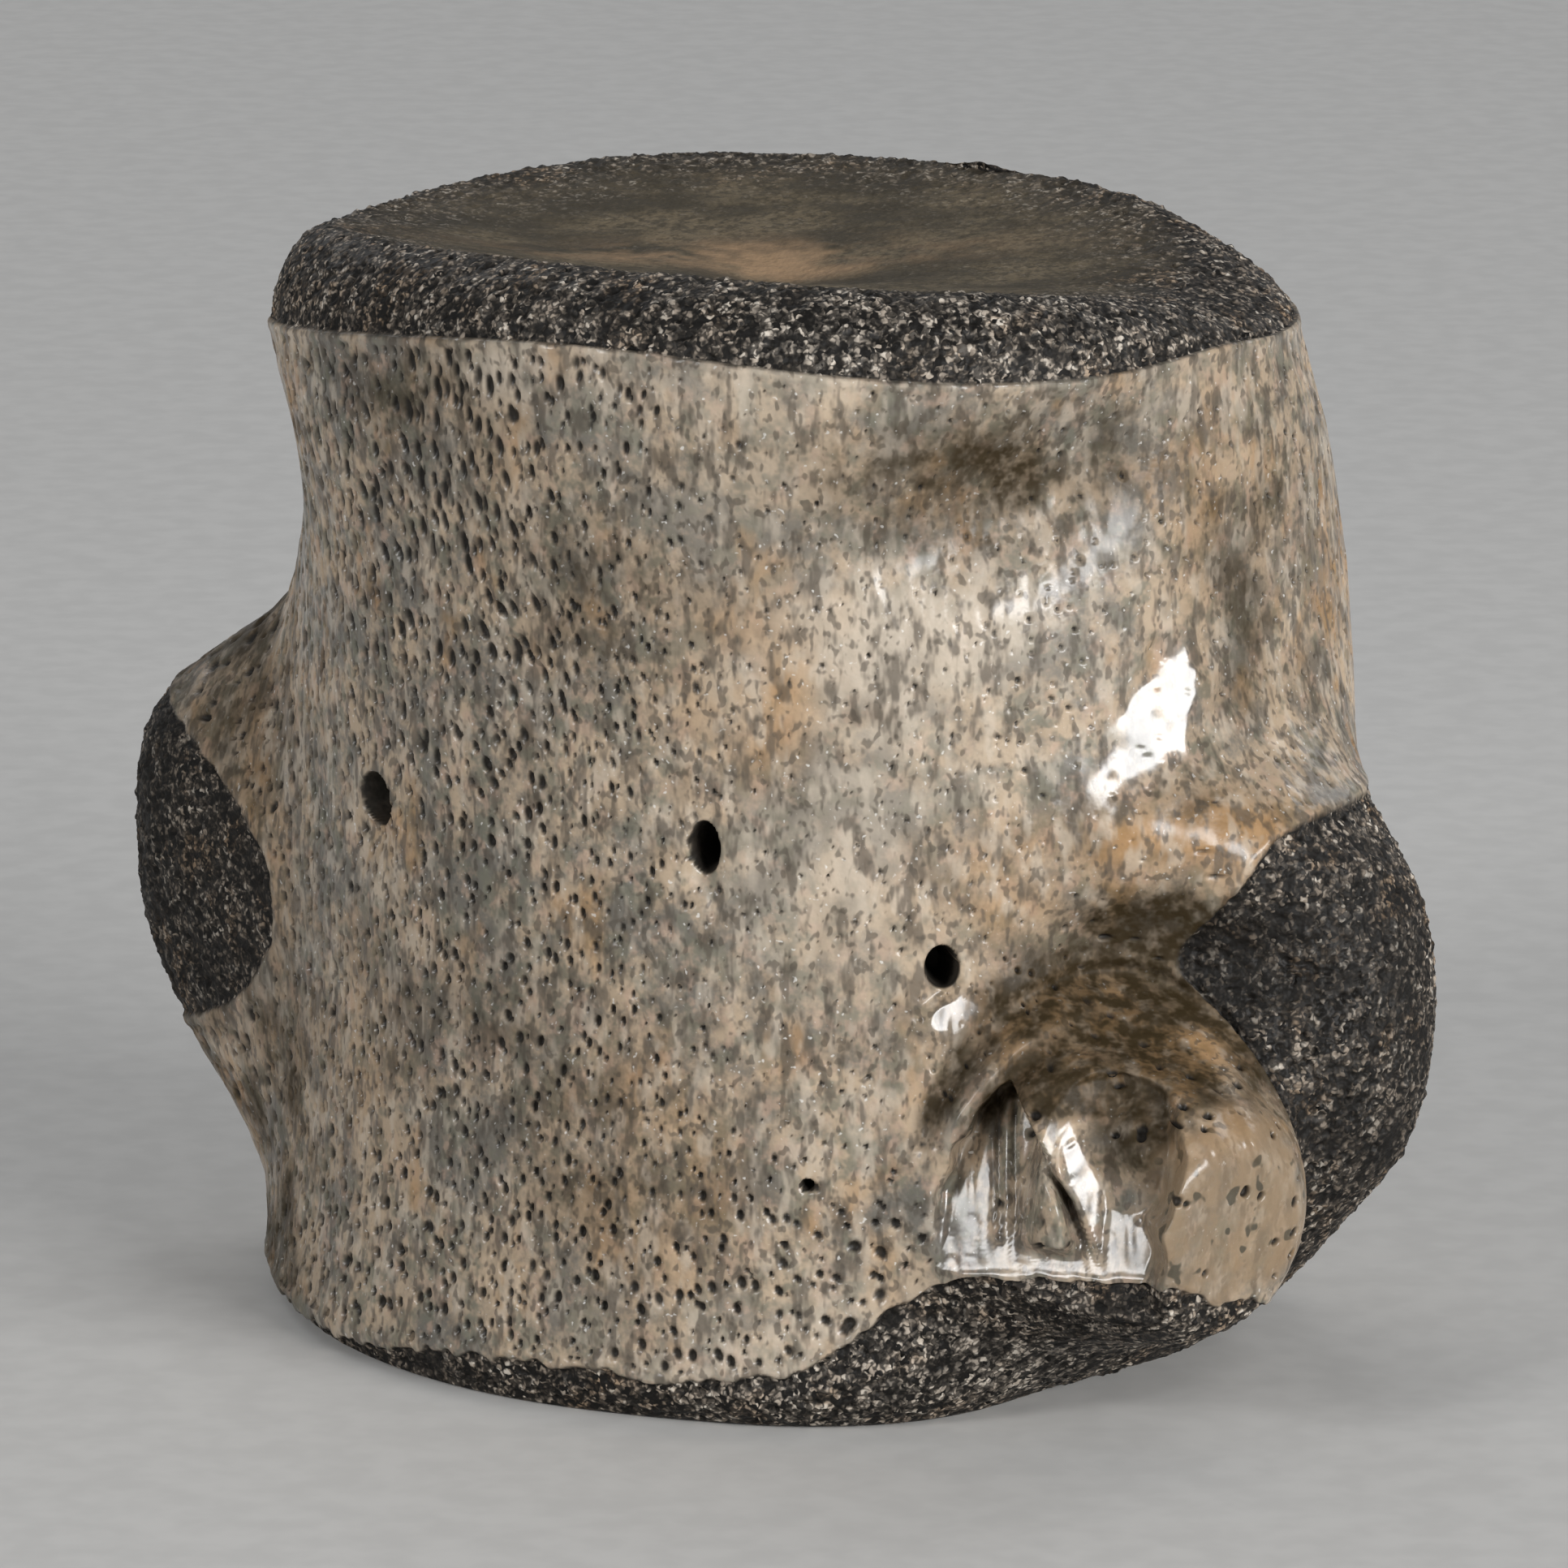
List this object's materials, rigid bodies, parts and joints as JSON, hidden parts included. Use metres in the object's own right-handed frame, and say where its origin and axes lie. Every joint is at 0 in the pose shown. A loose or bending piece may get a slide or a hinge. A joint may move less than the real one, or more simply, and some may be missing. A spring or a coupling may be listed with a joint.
{
  "type": "fossil reptile vertebra",
  "caption": "Waisted neck vertebra body of a fossil marine reptile, with domed rib seats, a side knob and vessel openings; stands on one end.",
  "frame": {"origin": "middle of the bone's bounding box, on the floor it stands on", "axes": "+Z along the backbone's axis, up; the camera's side is -Y; +X across the rib seats as the picture shows them"},
  "size_m": [0.0582, 0.0502, 0.0499],
  "materials": {
    "fossil_bone": "varnished fossil bone: tan to grey cortex with fine dark pits, dark brown grainy ends and rib seats"
  },
  "bodies": {
    "root": {"centrum": "fossil_bone"}
  },
  "joints": []
}
